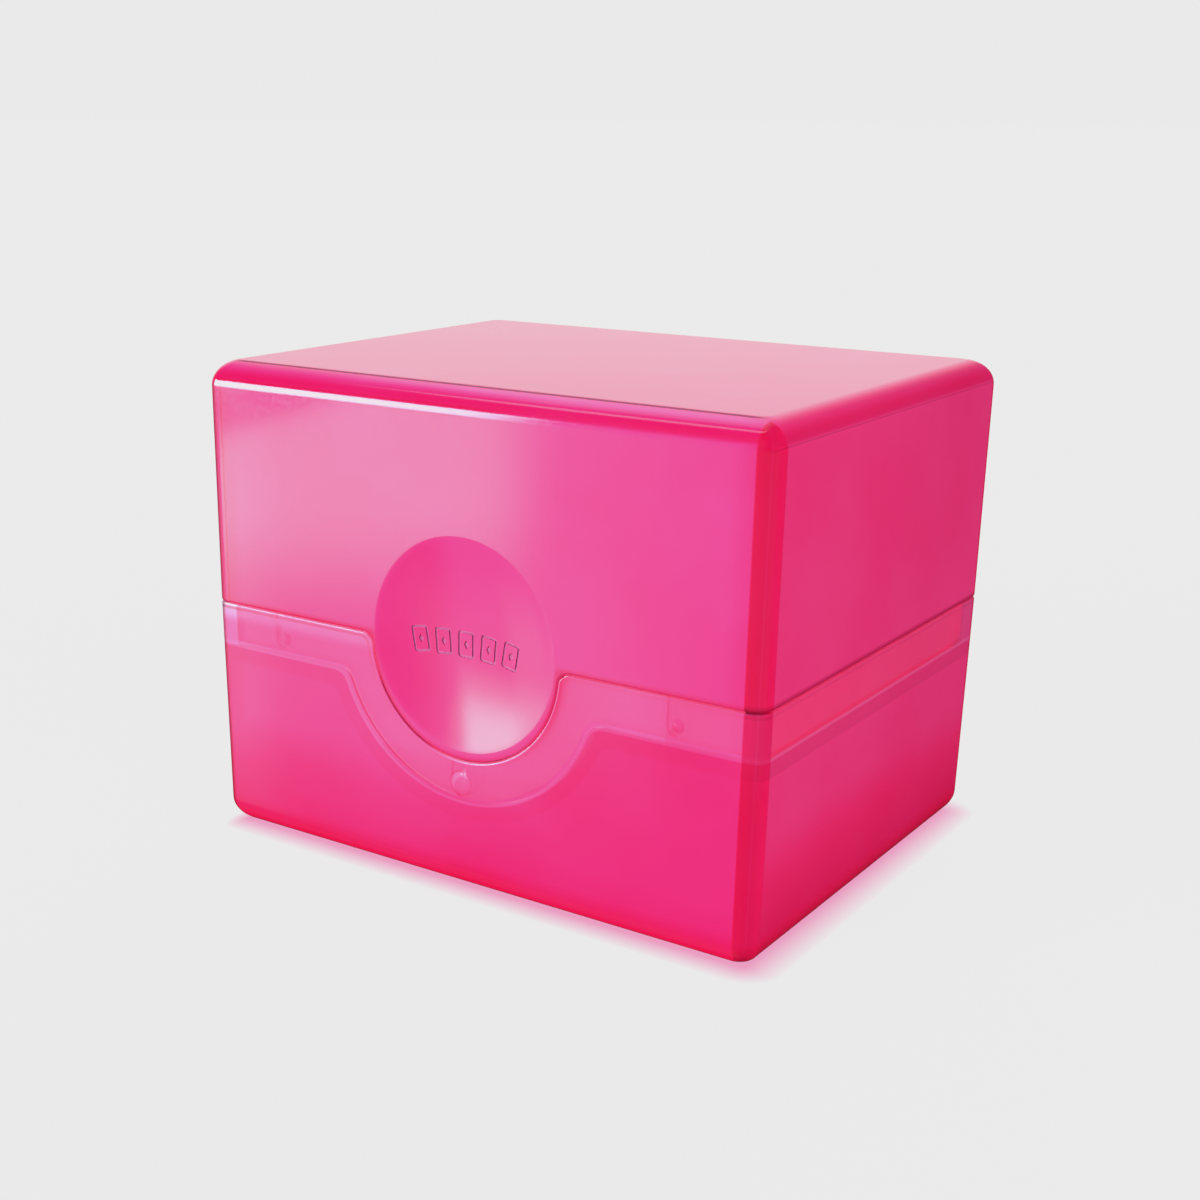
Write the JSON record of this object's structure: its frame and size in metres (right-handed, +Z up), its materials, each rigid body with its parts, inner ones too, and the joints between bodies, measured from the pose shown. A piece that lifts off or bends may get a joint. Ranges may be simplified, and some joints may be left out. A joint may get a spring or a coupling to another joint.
{
  "type": "card deck box",
  "caption": "Two-piece translucent plastic box for a deck of trading cards: a base and a lift-off lid that lap and snap together, with thumb dishes front and back.",
  "frame": {"origin": "centre of the underside of the base, on the surface that the box stands on", "axes": "+Z up, along the way the lid lifts off; +X along the long side, to the right as seen from the front; the front wall faces -Y"},
  "size_m": [0.0994, 0.077, 0.077],
  "materials": {
    "pink_plastic_base": "glossy outside, translucent, satin inside",
    "pink_plastic_lid": "glossy outside, translucent, satin inside"
  },
  "bodies": {
    "base": {"base": "pink_plastic_base"},
    "lid": {"lid": "pink_plastic_lid"}
  },
  "joints": [
    {"name": "lid_lift", "type": "slide", "parent": "base", "child": "lid", "axis": [0, 0, 1], "range_m": [0, 0.045]}
  ]
}
